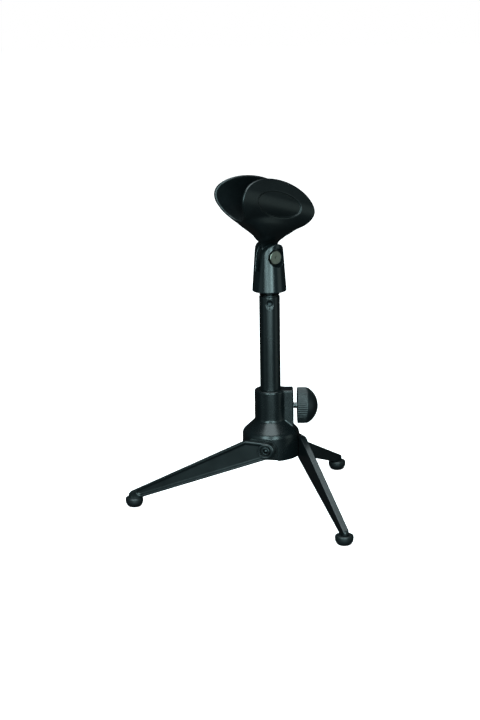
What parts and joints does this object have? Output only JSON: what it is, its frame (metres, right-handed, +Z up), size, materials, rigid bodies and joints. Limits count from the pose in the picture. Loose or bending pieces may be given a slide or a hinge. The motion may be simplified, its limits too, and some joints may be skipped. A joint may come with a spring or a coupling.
{
  "type": "desktop mic stand",
  "caption": "Folding tripod desk stand with a sliding height tube, clamp knob and a tilting slip-in clip for a handheld microphone.",
  "frame": {"origin": "middle of the box round the three feet, at table level; the height tube's axis stands at X = 26.2 mm, Y = 1.2 mm", "axes": "+Z up along the height tube, +X towards the clamp knob, +Y to the back"},
  "size_m": [0.1798, 0.203, 0.264],
  "materials": {
    "hub_plastic": "satin black moulded nylon",
    "leg_plastic": "satin black moulded nylon",
    "tube_paint": "satin black powder coat on steel",
    "knob_plastic": "satin black moulded plastic",
    "clip_base_plastic": "semi-gloss black moulded nylon",
    "clip_rubber": "matt black elastomer",
    "foot_rubber": "matt black rubber",
    "black_steel": "black oxide steel",
    "zinc_steel": "bright zinc plate",
    "nickel_steel": "turned, nickel plated",
    "brass_insert": "turned",
    "pad_nylon": "natural nylon",
    "plug_plastic": "matt black plastic"
  },
  "bodies": {
    "base": {"hub": "hub_plastic", "leg_inserts": "brass_insert", "leg_washers": "plug_plastic", "leg_screws": "black_steel", "clamp_insert": "brass_insert"},
    "left_leg": {"leg_left": "leg_plastic", "foot_left": "foot_rubber"},
    "front_leg": {"leg_front": "leg_plastic", "foot_front": "foot_rubber"},
    "back_leg": {"leg_back": "leg_plastic", "foot_back": "foot_rubber"},
    "column": {"tube": "tube_paint", "tube_end_plug": "plug_plastic", "thread_stud": "black_steel"},
    "head": {"clip_base": "clip_base_plastic", "clip_insert": "brass_insert", "clip_bolt": "nickel_steel", "clip_nut": "nickel_steel"},
    "clip": {"mic_clip": "clip_rubber"},
    "clamp_shoe": {"clamp_pad": "pad_nylon"},
    "knob": {"clamp_screw": "zinc_steel", "clamp_knob": "knob_plastic"}
  },
  "joints": [
    {"name": "left_leg_fold", "type": "hinge", "parent": "base", "child": "left_leg", "pos_m": [0.02168, -0.01928, 0.051], "axis": [-0.2147, -0.9767, 0], "range_deg": [0, 68]},
    {"name": "front_leg_fold", "type": "hinge", "parent": "base", "child": "front_leg", "pos_m": [0.0462, 0.00758, 0.051], "axis": [0.9532, 0.3024, 0], "range_deg": [0, 68]},
    {"name": "back_leg_fold", "type": "hinge", "parent": "base", "child": "back_leg", "pos_m": [0.01068, 0.01539, 0.051], "axis": [-0.7385, 0.6743, 0], "range_deg": [0, 68]},
    {"name": "height_slide", "type": "slide", "parent": "base", "child": "column", "axis": [0, 0, 1], "range_m": [-0.038, 0.025]},
    {"name": "clip_swivel", "type": "hinge", "parent": "column", "child": "head", "pos_m": [0.02619, 0.00123, 0.1741], "axis": [0, 0, 1], "continuous": true},
    {"name": "clip_tilt", "type": "hinge", "parent": "head", "child": "clip", "pos_m": [0.02619, 0.00123, 0.2011], "axis": [0.6074, -0.7944, 0], "range_deg": [-85, 85]},
    {"name": "clamp_travel", "type": "slide", "parent": "base", "child": "clamp_shoe", "axis": [1, 0, 0], "range_m": [0, 0.0024]},
    {"name": "knob_turn", "type": "hinge", "parent": "clamp_shoe", "child": "knob", "pos_m": [0.04689, 0.00123, 0.0818], "axis": [1, 0, 0], "range_deg": [0, 1080]}
  ],
  "couplings": [
    {"joint": "clamp_travel", "follows": "knob_turn", "m_per_rad": 0.00012732}
  ]
}
